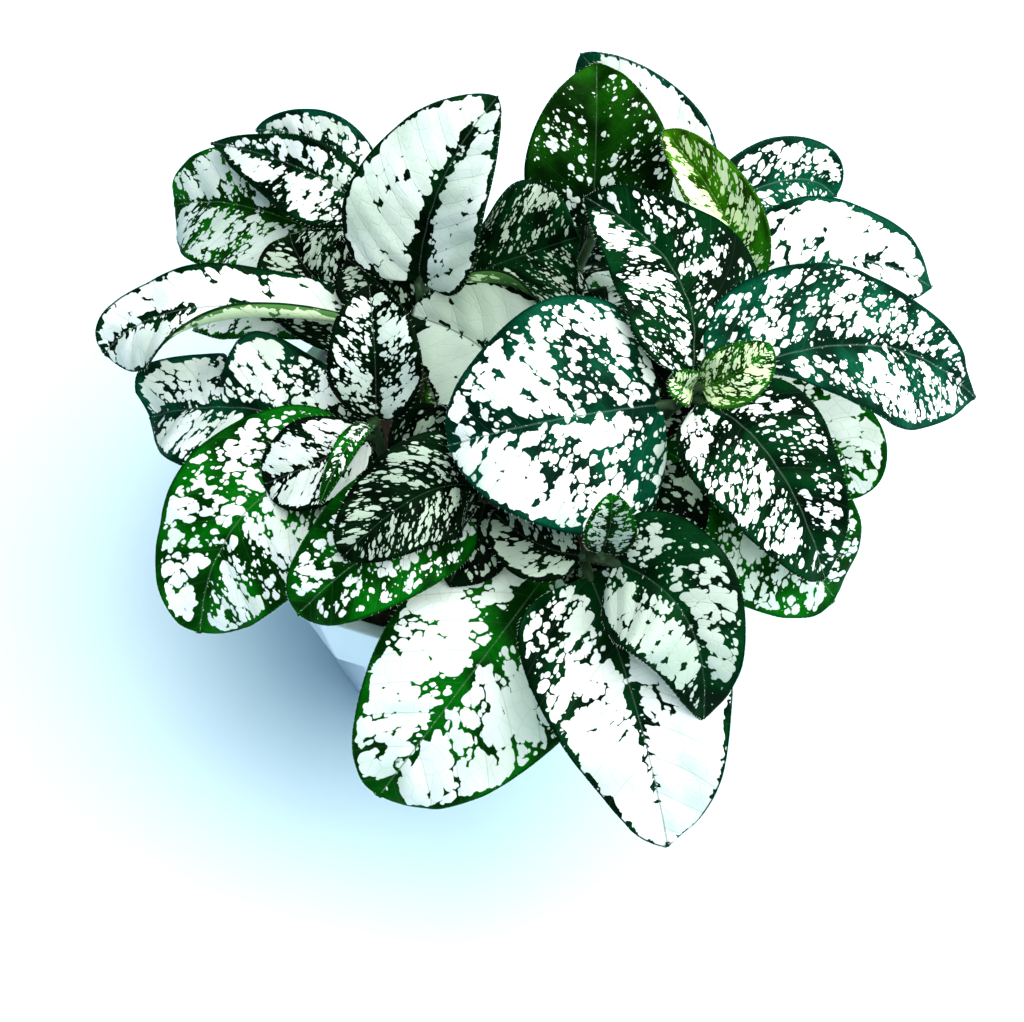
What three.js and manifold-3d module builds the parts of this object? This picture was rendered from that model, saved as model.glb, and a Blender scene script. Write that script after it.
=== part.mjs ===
// A polka dot plant in a ten-sided two-tier pot.
// Millimetres, +Z up, origin at the middle of the pot's underside, front towards -Y.
import * as THREE from 'three';
import { mergeVertices } from 'three/addons/utils/BufferGeometryUtils.js';
import Module from 'manifold-3d';

const wasm = await Module();
wasm.setup();

// Pot
const POT_HEIGHT = 72;
const POT_SIDES = 10;
const POT_TURN = 1.5;            // degrees from the front to the nearest corner
const RIM_RADIUS = 52;
const BAND_HEIGHT = 23;          // upper tier, from the rim down
const BAND_FOOT_RADIUS = 47.5;
const BODY_TOP_RADIUS = 41;
const BASE_RADIUS = 34;
const FOOT_CHAMFER = 1.2;
const POT_WALL = 3.4;
const LEDGE_FOOT = 1.5;          // the inside widens above the body's top, from here
const LEDGE_TOP = 4.5;           // to here
const POT_FLOOR = 5;

// Soil
const SOIL_TOP = 61;
const SOIL_CROWN = 3;            // how far the middle stands above the edge
const SHOULDER_RADIUS = 0.6;     // share of the soil's radius where its mound flattens
const SHOULDER_RISE = 0.7;       // share of the crown reached there
const GAP = 0.3;                 // between pieces that rest on each other

// Stems
const STEM_RADIUS = 1.7;
const STEM_SIDES = 6;
const STEM_STEPS = 8;
const ROOT_DEPTH = 8;
const ROOT_FOOT = SOIL_TOP - ROOT_DEPTH;
const KNEE_OUT = 0.42;           // share of the sideways lean a stem has at its knee
const KNEE_UP = 0.55;            // share of its height there
const LOWEST_LEAF = 0.4;         // place along the curve where leaves begin

// Leaf blades
const BLADE_THICKNESS = 0.8;
const PETIOLE_SHARE = 0.08;      // part of the midrib that is bare stalk
const PETIOLE_RADIUS = 1.1;
const TIP_HALF_WIDTH = 0.6;
const FULL_FOLD_WIDTH = 4;       // half width, in petiole radii, from which the fold is full
const WAVES_PER_LEAF = 2.3;
const WAVE_STARTS = [0.6, 2.4];  // radians, right and left half
const STALK_ROUNDING = 0.5;
const NOTCH_LENGTH = 0.08;       // share of the blade's length
const FLAT_FROM = 0.8;           // share of the blade's length from which a curled blade lies flat
const ROWS = [0, 0.5, 1, 1.08, 1.22, 1.4, 1.58, 1.76, 1.9, 1.97, 2];
const COLUMNS = [-1, -0.55, 0, 0.55, 1];

const DEGREE = Math.PI / 180;
const MERGE_DISTANCE = 1e-4;
const LEAST_CURL = 1e-4;         // radians, so that an uncurled half has a finite arc

// Each stem: where it leaves the soil, and where its growing tip is.
// Each leaf: share of the stem's height, middle of the midrib, tip, width of the right
// and left half, where the upper face looks (degrees right of the front, degrees above level),
// fold at the midrib, further curl and margin wave of the right and left half,
// place of the widest part of the right and left half, and how pointed the tip is
// (0.5 is round, 1 is sharp).
// Right and left are as seen on the upper face with the tip away from the viewer.
// One leaf also has a notch in its right half: its place and its share of the width.
const LEAFY_STEMS = {
  right: {
    root: [26, -10],
    apex: [47, -21, 127],
    leaves: [
      [0.88, [21, -29, 127], [-3, -30, 119], [24.5, 24.5], [2, 60], 4, [-15, -20], [1, 1], [0.34, 0.34, 0.6]],
      [0.93, [44, 0, 134], [25, 24, 133], [15.5, 15], [25, 45], 15, [-10, -10], [1, 1], [0.33, 0.33, 0.75]],
      [0.93, [60, -38, 127], [73, -50, 101], [15.5, 13], [20, 55], 10, [-10, -10], [1, 1], [0.4, 0.4, 0.65]],
      [0.93, [79, -13, 130], [107, -8, 106], [16, 18], [0, 65], 6, [-10, -20], [1, 1], [0.64, 0.25, 1]],
      [0.66, [59, -38, 107], [77, -45, 86], [17, 18], [0, 60], 0, [-10, -10], [1, 1], [0.5, 0.5, 0.55]],
      [0.98, [54, -22, 132], [61, -18, 136], [7, 7], [0, 50], 30, [0, 0], [0.3, 0.3], [0.45, 0.45, 0.7]],
      [0.98, [44, -25, 132], [41, -24, 134], [4, 4], [0, 50], 30, [0, 0], [0.3, 0.3], [0.45, 0.45, 0.7]],
      [0.66, [40, 1, 108], [38, 10, 108], [11, 11], [0, 55], 20, [0, 0], [0.5, 0.5], [0.45, 0.45, 0.8]],
      [0.40, [42, -26, 92], [52, -37, 84], [13, 13], [20, 60], 10, [0, 0], [0.8, 0.8], [0.5, 0.5, 0.7]],
      [0.78, [42, -12, 114], [37, -3, 113], [8, 8], [0, 60], 15, [0, 0], [0.4, 0.4], [0.5, 0.5, 0.7]],
      [0.60, [39, -35, 107], [37, -45, 99], [11, 11], [0, 60], 10, [0, 0], [0.6, 0.6], [0.5, 0.5, 0.7]],
    ],
  },
  front: {
    root: [14, -24],
    apex: [28, -51, 110],
    leaves: [
      [0.80, [34, -73, 93], [42, -90, 62], [19, 21], [5, 45], 6, [-10, -10], [1, 1], [0.25, 0.33, 0.68]],
      [0.95, [43, -65, 112], [48, -76, 90], [14, 14], [10, 50], 10, [-10, -15], [1, 1], [0.3, 0.24, 0.75]],
      [0.60, [3, -60, 84], [-18, -75, 56], [20.5, 23.5], [-5, 50], 2, [-25, -10], [1, 1], [0.42, 0.38, 0.5]],
      [0.88, [15, -44, 105], [6, -34, 102], [8, 8], [0, 60], 15, [0, 0], [0.5, 0.5], [0.45, 0.45, 0.8]],
      [0.97, [29, -51, 121], [29, -49, 129], [5.5, 5.5], [0, 20], 25, [0, 0], [0.2, 0.2], [0.45, 0.45, 0.7]],
      [0.35, [24, -44, 80], [32, -58, 70], [11, 11], [20, 60], 10, [0, 0], [0.8, 0.8], [0.5, 0.5, 0.7]],
    ],
  },
  middle: {
    root: [0, -12],
    apex: [6, -31, 104],
    leaves: [
      [0.80, [-14, -41, 103], [-34, -50, 88], [14, 13], [-10, 60], 8, [-10, -10], [1, 1], [0.4, 0.42, 0.5]],
      [0.95, [-7, -36, 111.5], [-24, -46, 103], [12, 11], [0, 50], 15, [0, 0], [0.8, 0.8], [0.4, 0.4, 0.5]],
      [0.93, [9, -3, 106], [-12, 14, 107], [16, 16], [0, 55], 8, [0, 0], [0.6, 0.6], [0.5, 0.5, 0.6]],
      [0.40, [-14, -28, 82], [-26, -36, 76], [12, 12], [-20, 65], 10, [0, 0], [0.8, 0.8], [0.5, 0.5, 0.7]],
      [0.85, [2, -37, 97], [-3, -46, 93], [9, 9], [0, 60], 10, [0, 0], [0.6, 0.6], [0.5, 0.5, 0.7]],
    ],
  },
  left: {
    root: [-16, -8],
    apex: [-19, -14, 106],
    leaves: [
      [0.80, [-47, 0, 92], [-71, 9, 77], [17, 15.5], [0, 70], 5, [0, 0], [6, 1], [0.5, 0.5, 0.55],
        [0.58, 0.7]],
      [0.78, [-45, -27, 93], [-57, -42, 68], [17, 21], [-20, 60], 5, [-10, -10], [1, 1], [0.42, 0.42, 0.5]],
      [0.90, [-30, -22, 103], [-42, -23, 96], [9.5, 9.5], [0, 60], 10, [0, 0], [0.5, 0.5], [0.5, 0.5, 0.55]],
      [0.92, [-18, -9, 120], [-19, 1, 132], [10, 10], [0, 40], 15, [0, 0], [0.8, 0.8], [0.45, 0.45, 0.65]],
      [0.45, [-32, 2, 84], [-46, 8, 76], [12, 12], [-60, 65], 10, [0, 0], [0.8, 0.8], [0.5, 0.5, 0.7]],
      [0.60, [-9, -12, 95], [0, -12, 93], [9, 9], [0, 65], 15, [0, 0], [0.4, 0.4], [0.5, 0.5, 0.7]],
      [0.97, [-23, -24, 112], [-29, -36, 107], [2.5, 2.5], [-20, 60], 25, [0, 0], [0.3, 0.3],
        [0.45, 0.45, 0.7]],
    ],
  },
  inner: {
    root: [-7, 8],
    apex: [-10, 19, 112],
    leaves: [
      [0.93, [-6, 26, 131], [7, 39, 147], [15.5, 18], [-25, 35], 25, [0, -10], [0.8, 0.8], [0.32, 0.3, 0.7]],
      [0.95, [10, 27, 110], [24, 28, 116], [20, 16], [0, 60], 10, [150, 110], [0.5, 0.5], [0.6, 0.6, 0.4]],
      [0.62, [-31, 30, 96], [-40, 45, 98], [14, 13], [0, 60], 10, [0, 0], [0.6, 0.6], [0.5, 0.5, 0.7]],
      [0.75, [-54, 18, 105], [-80, 17, 90], [9.5, 11], [0, 68], 0, [0, 190], [1.5, 0.5], [0.5, 0.65, 0.4]],
      [0.60, [-4, -2, 98.5], [-9, 3, 99], [5, 5], [0, 50], 20, [0, 0], [0.3, 0.3], [0.45, 0.45, 0.8]],
      [0.40, [6, 16, 88], [18, 16, 84], [11, 11], [20, 65], 10, [0, 0], [0.8, 0.8], [0.5, 0.5, 0.7]],
      [0.78, [-19, 22, 108], [-26, 28, 109], [9, 9], [0, 55], 15, [0, 0], [0.5, 0.5], [0.5, 0.5, 0.7]],
    ],
  },
  back: {
    root: [12, 20],
    apex: [30, 38, 112],
    leaves: [
      [0.90, [28, 44, 127], [28, 56, 140], [17, 15.5], [0, 30], 10, [0, 0], [0.6, 0.6], [0.32, 0.32, 0.7]],
      [0.62, [16, 52, 84], [10, 66, 68], [14, 14], [180, 60], 8, [-10, -10], [1, 1], [0.45, 0.45, 0.75]],
      [0.50, [36, 50, 76], [46, 62, 60], [13, 13], [170, 55], 8, [-10, -10], [1, 1], [0.45, 0.45, 0.75]],
      [0.70, [22, 20, 104], [24, 10, 100], [9, 9], [0, 65], 10, [0, 0], [0.6, 0.6], [0.5, 0.5, 0.7]],
      [0.80, [20, 28, 103], [11, 21, 100], [11, 11], [0, 60], 10, [0, 0], [0.6, 0.6], [0.5, 0.5, 0.7]],
      [0.75, [26, 45, 93], [27, 57, 90], [11, 11], [0, 60], 10, [0, 0], [0.6, 0.6], [0.5, 0.5, 0.7]],
    ],
  },
  north: {
    root: [26, 24],
    apex: [51, 46, 108],
    leaves: [
      [0.90, [42, 56, 113], [25, 67, 132], [13, 17], [10, 35], 10, [0, 0], [0.6, 0.6], [0.45, 0.45, 0.7]],
      [0.85, [70, 57, 102], [84, 59, 95], [10, 10], [0, 50], 10, [0, 0], [0.8, 0.8], [0.5, 0.5, 0.6]],
      [0.60, [62, 58, 78], [72, 68, 62], [13, 13], [160, 60], 8, [-10, -10], [1, 1], [0.45, 0.45, 0.75]],
    ],
  },
  east: {
    root: [32, 6],
    apex: [63, 20, 112],
    leaves: [
      [0.90, [55, 20, 129], [42, 41, 135], [9.5, 10], [10, 40], 45, [0, 0], [0.6, 0.6], [0.5, 0.4, 0.75]],
      [0.85, [79, 24, 113], [103, 29, 98], [14.5, 14.5], [0, 60], 6, [0, 0], [1, 1], [0.4, 0.32, 0.85]],
      [0.55, [77, -6, 91], [79, -14, 79], [11, 11], [0, 60], 5, [0, 0], [0.6, 0.6], [0.45, 0.45, 0.7]],
      [0.60, [80, 36, 84], [98, 42, 66], [15, 15], [90, 60], 8, [-10, -10], [1, 1], [0.45, 0.45, 0.75]],
      [0.35, [52, 10, 80], [64, 8, 72], [11, 11], [60, 65], 8, [0, 0], [0.8, 0.8], [0.5, 0.5, 0.7]],
    ],
  },
  west: {
    root: [-12, 24],
    apex: [-22, 54, 102],
    leaves: [
      [0.90, [-37, 57, 106], [-60, 74, 97], [7.5, 11], [0, 50], 10, [0, 0], [1, 1], [0.35, 0.35, 0.95]],
      [0.85, [-31, 64, 104], [-50, 79, 96], [8, 8], [0, 50], 8, [0, 0], [0.6, 0.6], [0.45, 0.45, 0.8]],
      [0.70, [-46, 56, 93], [-70, 70, 80], [15, 16.5], [0, 60], 5, [0, 0], [1, 1], [0.55, 0.55, 0.4]],
      [0.60, [-22, 62, 78], [-26, 78, 60], [14, 14], [180, 60], 8, [-10, -10], [1, 1], [0.45, 0.45, 0.75]],
      [0.50, [-48, 46, 76], [-66, 50, 60], [14, 14], [-100, 60], 8, [-10, -10], [1, 1], [0.45, 0.45, 0.75]],
      [0.62, [-35, 42, 84], [-47, 36, 78], [10, 10], [-40, 60], 8, [0, 0], [0.6, 0.6], [0.5, 0.5, 0.7]],
    ],
  },
};

// A closed mesh whose shared vertices are merged, as a solid that can be joined and cut
function solidOf(geometry) {
  const bare = geometry.index ? geometry.toNonIndexed() : geometry.clone();
  bare.deleteAttribute('normal');
  bare.deleteAttribute('uv');
  const merged = mergeVertices(bare, MERGE_DISTANCE);
  const corners = merged.index.array;
  const kept = [];
  for (let i = 0; i < corners.length; i += 3) {
    const [a, b, c] = [corners[i], corners[i + 1], corners[i + 2]];
    if (a !== b && b !== c && c !== a) kept.push(a, b, c);
  }
  const mesh = new wasm.Mesh({
    numProp: 3,
    vertProperties: new Float32Array(merged.attributes.position.array),
    triVerts: new Uint32Array(kept),
  });
  return new wasm.Manifold(mesh);
}

function geometryOf(solid) {
  const mesh = solid.getMesh();
  const geometry = new THREE.BufferGeometry();
  geometry.setAttribute('position', new THREE.BufferAttribute(mesh.vertProperties, 3));
  geometry.setIndex(new THREE.BufferAttribute(mesh.triVerts, 1));
  return geometry;
}

// A ten-sided turned shape, from a profile of [radius, height] points
function prismFromProfile(profile) {
  const points = profile.map(([radius, height]) => new THREE.Vector2(radius, height));
  const geometry = new THREE.LatheGeometry(points, POT_SIDES);
  geometry.rotateX(Math.PI / 2);
  geometry.rotateZ(-POT_TURN * DEGREE);
  return geometry;
}

// Radius of the pot's outer and inner wall at a height
function outerRadius(height) {
  const bodyTop = POT_HEIGHT - BAND_HEIGHT;
  if (height < bodyTop) return BASE_RADIUS + (BODY_TOP_RADIUS - BASE_RADIUS) * height / bodyTop;
  return BAND_FOOT_RADIUS + (RIM_RADIUS - BAND_FOOT_RADIUS) * (height - bodyTop) / BAND_HEIGHT;
}

function innerRadius(height) {
  const aboveBody = height - (POT_HEIGHT - BAND_HEIGHT);
  if (aboveBody < 0 || aboveBody > LEDGE_TOP) return outerRadius(height) - POT_WALL;
  const narrow = BODY_TOP_RADIUS - POT_WALL;
  const wide = outerRadius(POT_HEIGHT - BAND_HEIGHT + LEDGE_TOP) - POT_WALL;
  const share = Math.max(0, (aboveBody - LEDGE_FOOT) / (LEDGE_TOP - LEDGE_FOOT));
  return narrow + (wide - narrow) * share;
}

// The inside of the pot from one height up to another, as profile points, this far off the wall
function insideProfile(bottom, top, clearance) {
  const bodyTop = POT_HEIGHT - BAND_HEIGHT;
  const heights = [bottom, bodyTop, bodyTop + LEDGE_FOOT, bodyTop + LEDGE_TOP, top];
  return heights.map((height) => [innerRadius(height) - clearance, height]);
}

function makePot() {
  const bodyTop = POT_HEIGHT - BAND_HEIGHT;
  return solidOf(prismFromProfile([
    [0, 0],
    [BASE_RADIUS - FOOT_CHAMFER, 0],
    [BASE_RADIUS, FOOT_CHAMFER],
    [BODY_TOP_RADIUS, bodyTop],
    [BAND_FOOT_RADIUS, bodyTop + 1],
    [RIM_RADIUS, POT_HEIGHT],
    ...insideProfile(POT_FLOOR, POT_HEIGHT, 0).reverse(),
    [0, POT_FLOOR],
  ]));
}

function makeSoil() {
  const bottom = POT_FLOOR + GAP;
  let soil = solidOf(prismFromProfile([
    [0, bottom],
    ...insideProfile(bottom, SOIL_TOP, GAP),
    [innerRadius(SOIL_TOP) * SHOULDER_RADIUS, SOIL_TOP + SOIL_CROWN * SHOULDER_RISE],
    [0, SOIL_TOP + SOIL_CROWN],
  ]));
  const holeRadius = (STEM_RADIUS + GAP) / Math.cos(Math.PI / STEM_SIDES);
  const holeHeight = ROOT_DEPTH + GAP + 2 * SOIL_CROWN;
  for (const { root } of Object.values(LEAFY_STEMS)) {
    const hole = new THREE.CylinderGeometry(holeRadius, holeRadius, holeHeight, STEM_SIDES);
    hole.rotateX(Math.PI / 2);
    hole.translate(root[0], root[1], ROOT_FOOT - GAP + holeHeight / 2);
    soil = soil.subtract(solidOf(hole));
  }
  return soil;
}

// Upright through the soil, then leaning out to its tip
function stemCurve({ root, apex }) {
  const [x, y] = root;
  return new THREE.CatmullRomCurve3([
    new THREE.Vector3(x, y, ROOT_FOOT),
    new THREE.Vector3(x, y, (ROOT_FOOT + SOIL_TOP) / 2),
    new THREE.Vector3(x, y, SOIL_TOP + SOIL_CROWN + 1),
    new THREE.Vector3(
      x + (apex[0] - x) * KNEE_OUT,
      y + (apex[1] - y) * KNEE_OUT,
      SOIL_TOP + (apex[2] - SOIL_TOP) * KNEE_UP,
    ),
    new THREE.Vector3(...apex),
  ]);
}

function makeStem(curve) {
  const outline = new THREE.Shape();
  for (let i = 0; i < STEM_SIDES; i += 1) {
    const angle = i * 2 * Math.PI / STEM_SIDES;
    const point = [STEM_RADIUS * Math.cos(angle), STEM_RADIUS * Math.sin(angle)];
    if (i === 0) outline.moveTo(...point);
    else outline.lineTo(...point);
  }
  outline.closePath();
  const geometry = new THREE.ExtrudeGeometry(outline, { extrudePath: curve, steps: STEM_STEPS });
  return solidOf(geometry);
}

// Share of the blade's full width at a share of its length, as an ovate leaf has it
function outlineAt(share, widest, sharpness) {
  const outline = (s) => s ** (sharpness * widest / (1 - widest)) * (1 - s) ** sharpness;
  return outline(share) / outline(widest);
}

// The midrib's point at a row, the directions sideways and upwards there, and the halves' widths
function leafFrame(leaf, start, row) {
  const [, middle, tip, widths, facing, , , , outline, notch = [0, 0]] = leaf;
  const end = new THREE.Vector3(...tip);
  const bend = new THREE.Vector3(...middle).multiplyScalar(2)
    .addScaledVector(start, -0.5).addScaledVector(end, -0.5);
  const midrib = new THREE.QuadraticBezierCurve3(start, bend, end);
  const onBlade = row > 1;
  const along = onBlade ? PETIOLE_SHARE + (row - 1) * (1 - PETIOLE_SHARE) : row * PETIOLE_SHARE;
  const centre = midrib.getPoint(along);
  const tangent = midrib.getTangent(along);
  const [turn, rise] = facing.map((angle) => angle * DEGREE);
  const face = new THREE.Vector3(
    Math.sin(turn) * Math.cos(rise), -Math.cos(turn) * Math.cos(rise), Math.sin(rise),
  );
  const side = new THREE.Vector3().crossVectors(tangent, face).normalize();
  const normal = new THREE.Vector3().crossVectors(side, tangent);
  const share = onBlade ? row - 1 : 0;
  const cuts = [notch[1] * Math.exp(-(((share - notch[0]) / NOTCH_LENGTH) ** 2)), 0];
  const breadths = widths.map((width, half) => (
    onBlade ? width * outlineAt(share, outline[half], outline[2]) * (1 - cuts[half]) : 0
  ));
  return { centre, side, normal, share, breadths };
}

// Point of a leaf's surface: its middle surface folded, curled and waved, then lifted
function leafPoint(leaf, frame, across, lift) {
  const [, , , , , fold, curl, wave] = leaf;
  const { centre, side, normal, share, breadths } = frame;
  const half = across > 0 ? 0 : 1;
  const least = share > 0.5 ? TIP_HALF_WIDTH : PETIOLE_RADIUS;
  const reach = Math.max(breadths[half], least);
  const spread = Math.min(1, breadths[half] / (FULL_FOLD_WIDTH * PETIOLE_RADIUS));
  const curled = 1 - Math.min(1, share / FLAT_FROM) ** 2;
  const turn = curl[half] * DEGREE * spread * curled + LEAST_CURL;
  const start = fold * DEGREE * spread;
  const end = start + turn * Math.abs(across);
  const out = Math.sign(across) * reach * (Math.sin(end) - Math.sin(start)) / turn;
  const up = reach * (Math.cos(start) - Math.cos(end)) / turn;
  const phase = share * WAVES_PER_LEAF * 2 * Math.PI + WAVE_STARTS[half];
  const ripple = wave[half] * spread * across ** 2 * Math.sin(phase);
  return centre.clone()
    .addScaledVector(side, out)
    .addScaledVector(normal, up + ripple + lift);
}

// A thin closed blade with a bare stalk, split into triangles alike on both faces
function makeLeaf(leaf, start) {
  const positions = [];
  for (const face of [1, -1]) {
    for (const row of ROWS) {
      const frame = leafFrame(leaf, start, row);
      for (const across of COLUMNS) {
        const stalkLift = PETIOLE_RADIUS * (1 - STALK_ROUNDING * across ** 2);
        const lift = row < 1 ? stalkLift : BLADE_THICKNESS / 2;
        positions.push(...leafPoint(leaf, frame, across, face * lift).toArray());
      }
    }
  }
  const columns = COLUMNS.length;
  const underside = ROWS.length * columns;
  const corner = (row, column) => row * columns + column;
  const index = [];
  const quad = (a, b, c, d) => index.push(a, b, c, a, c, d);
  for (let row = 0; row + 1 < ROWS.length; row += 1) {
    for (let column = 0; column + 1 < columns; column += 1) {
      const a = corner(row, column);
      const b = corner(row, column + 1);
      const c = corner(row + 1, column + 1);
      const d = corner(row + 1, column);
      quad(a, b, c, d);
      index.push(underside + a, underside + c, underside + b);
      index.push(underside + a, underside + d, underside + c);
    }
  }
  const margin = [];
  const last = { row: ROWS.length - 1, column: columns - 1 };
  for (let column = 0; column < last.column; column += 1) margin.push(corner(0, column));
  for (let row = 0; row < last.row; row += 1) margin.push(corner(row, last.column));
  for (let column = last.column; column > 0; column -= 1) margin.push(corner(last.row, column));
  for (let row = last.row; row > 0; row -= 1) margin.push(corner(row, 0));
  margin.forEach((from, i) => {
    const to = margin[(i + 1) % margin.length];
    quad(from, underside + from, underside + to, to);
  });
  const geometry = new THREE.BufferGeometry();
  geometry.setAttribute('position', new THREE.Float32BufferAttribute(positions, 3));
  geometry.setIndex(index);
  return solidOf(geometry);
}

function makeLeafyStem(stem) {
  const curve = stemCurve(stem);
  let plant = makeStem(curve);
  for (const leaf of stem.leaves) {
    const place = LOWEST_LEAF + (1 - LOWEST_LEAF) * leaf[0];
    plant = plant.add(makeLeaf(leaf, curve.getPoint(place)));
  }
  return plant;
}

const plantInPot = new THREE.Group();

function addPiece(name, solid, colour, roughness) {
  const material = new THREE.MeshStandardMaterial({ color: colour, roughness, metalness: 0 });
  const mesh = new THREE.Mesh(geometryOf(solid), material);
  mesh.name = name;
  plantInPot.add(mesh);
}

addPiece('pot', makePot(), 0xeef2f5, 0.2);
addPiece('soil', makeSoil(), 0x2a2019, 0.95);
for (const [name, stem] of Object.entries(LEAFY_STEMS)) {
  addPiece(`leafy_stem_${name}`, makeLeafyStem(stem), 0x3d7f52, 0.45);
}

export default plantInPot;
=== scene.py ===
# A polka dot plant with white and green leaves, in a ten-sided glazed pot.
# Metres, +Z up, origin at the middle of the pot's underside, front towards -Y.
import math
import random

import bmesh
import bpy
import numpy as np
from mathutils import Matrix, Vector, noise


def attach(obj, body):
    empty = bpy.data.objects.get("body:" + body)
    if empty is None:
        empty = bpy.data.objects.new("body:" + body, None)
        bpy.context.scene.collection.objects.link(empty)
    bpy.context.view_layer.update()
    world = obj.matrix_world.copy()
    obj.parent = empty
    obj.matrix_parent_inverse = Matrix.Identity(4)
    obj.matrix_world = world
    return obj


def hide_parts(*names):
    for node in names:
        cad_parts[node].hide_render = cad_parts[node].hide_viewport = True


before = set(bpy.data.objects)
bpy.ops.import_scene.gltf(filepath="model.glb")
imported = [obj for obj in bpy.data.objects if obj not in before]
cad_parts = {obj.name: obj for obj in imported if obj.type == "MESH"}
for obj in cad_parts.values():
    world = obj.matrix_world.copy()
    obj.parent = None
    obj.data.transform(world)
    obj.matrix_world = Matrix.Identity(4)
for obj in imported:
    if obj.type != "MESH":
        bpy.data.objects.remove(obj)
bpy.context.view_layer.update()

MM = 0.001
DEGREE = math.pi / 180

# Camera, as the photograph was taken
CAMERA_TARGET = Vector((10, -13, 72)) * MM
CAMERA_DISTANCE = 520 * MM
CAMERA_ELEVATION = 55
CAMERA_LENS = 83.1

# One wide soft lamp above the right front, and a weak blue sky all round
LAMP_PLACE = (0.40, -0.11, 1.0)
LAMP_AIM = (0, 0, 0.05)
LAMP_SIZE = 1.9
LAMP_WATTS = 32.5
LAMP_COLOUR = (1.0, 0.99, 0.95)
SKY_COLOUR = (0.40, 0.66, 1.0, 1)
SKY_STRENGTH = 0.225
TABLE_COLOUR = (0.72, 0.91, 1.0, 1)
TABLE_ROUGHNESS = 0.6
TABLE_HALF_WIDTH = 4

# Pot, in millimetres, as in the part's source
POT_HEIGHT = 72
POT_SIDES = 10
POT_TURN = 1.5
RIM_RADIUS = 52
BAND_HEIGHT = 23
BAND_FOOT_RADIUS = 47.5
BODY_TOP_RADIUS = 41
BASE_RADIUS = 34
FOOT_CHAMFER = 1.2
POT_WALL = 3.4
POT_FLOOR = 5
LEDGE_FOOT = 1.5
LEDGE_TOP = 4.5
SOIL_TOP = 61
SOIL_CROWN = 3
SHOULDER_RADIUS = 0.6   # share of the soil's radius
SHOULDER_RISE = 0.7     # share of the crown
GAP = 0.3

# Stems and leaves, in millimetres and degrees, as in the part's source
STEM_RADIUS = 1.7
ROOT_DEPTH = 8
ROOT_FOOT = SOIL_TOP - ROOT_DEPTH
KNEE_OUT = 0.42
KNEE_UP = 0.55
LOWEST_LEAF = 0.4
PETIOLE_SHARE = 0.08
PETIOLE_RADIUS = 1.1
FULL_FOLD_WIDTH = 4
WAVES_PER_LEAF = 2.3
WAVE_STARTS = (0.6, 2.4)
LEAST_CURL = 1e-4
NOTCH_LENGTH = 0.08
FLAT_FROM = 0.8

# Finer forms that the part's source leaves out, in millimetres
FACET_BEVEL = 0.7
SOIL_ROUGHNESS = 0.9
CRUMBS = 420
CRUMB_SIZES = (0.5, 1.5)
BLADE_THICKNESS = 0.5
VEIN_PAIRS = 7.5
QUILT_HEIGHT = 0.45
MIDRIB_GROOVE = 0.5
MIDRIB_WEDGE = 2.2      # distance from the midrib over which a leaf is darker at its foot
RIB_END = 0.97          # share of the leaf's length at which its raised midrib ends
RIB_RINGS = 26
STEM_RINGS = 30
HAIR_LENGTHS = (0.45, 0.95)
HAIR_RADIUS = 0.05
HAIR_SUNK = 0.15

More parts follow.
